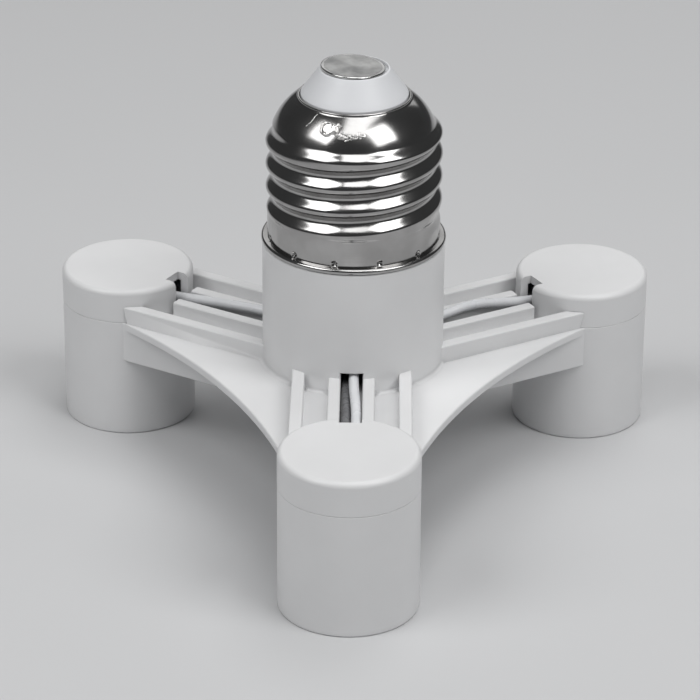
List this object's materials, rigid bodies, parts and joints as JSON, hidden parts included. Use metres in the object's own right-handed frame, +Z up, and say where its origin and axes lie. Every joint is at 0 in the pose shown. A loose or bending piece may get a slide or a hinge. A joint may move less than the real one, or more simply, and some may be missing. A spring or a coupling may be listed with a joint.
{
  "type": "lamp socket adapter",
  "caption": "Adapter whose large screw cap feeds small screw lamp sockets on the arms of a ribbed plastic hub, with open wire channels.",
  "frame": {"origin": "screw axis at the level of the socket rims, which it stands on", "axes": "+Z up along the screw axis towards the centre contact; one arm points along -Y"},
  "size_m": [0.0922, 0.0825, 0.0671],
  "materials": {
    "housing": "smooth moulded, satin",
    "plated": "bright nickel plate",
    "insulator": "smooth, dull",
    "contact": "dull tin plate",
    "brass": "plain",
    "white_lead": "smooth",
    "dark_lead": "smooth"
  },
  "bodies": {
    "root": {"housing": "housing", "socket_cap_front": "housing", "socket_sleeve_front": "plated", "contact_tongue_front": "brass", "tongue_rivet_front": "brass", "live_lead_front": "white_lead", "neutral_lead_front": "dark_lead", "socket_cap_right": "housing", "socket_sleeve_right": "plated", "contact_tongue_right": "brass", "tongue_rivet_right": "brass", "live_lead_right": "white_lead", "neutral_lead_right": "dark_lead", "socket_cap_left": "housing", "socket_sleeve_left": "plated", "contact_tongue_left": "brass", "tongue_rivet_left": "brass", "live_lead_left": "white_lead", "neutral_lead_left": "dark_lead", "screw_shell": "plated", "cap_insulator": "insulator", "centre_contact": "contact", "neutral_splice": "brass", "live_splice": "brass", "live_tail": "white_lead", "neutral_tail": "dark_lead"}
  },
  "joints": []
}
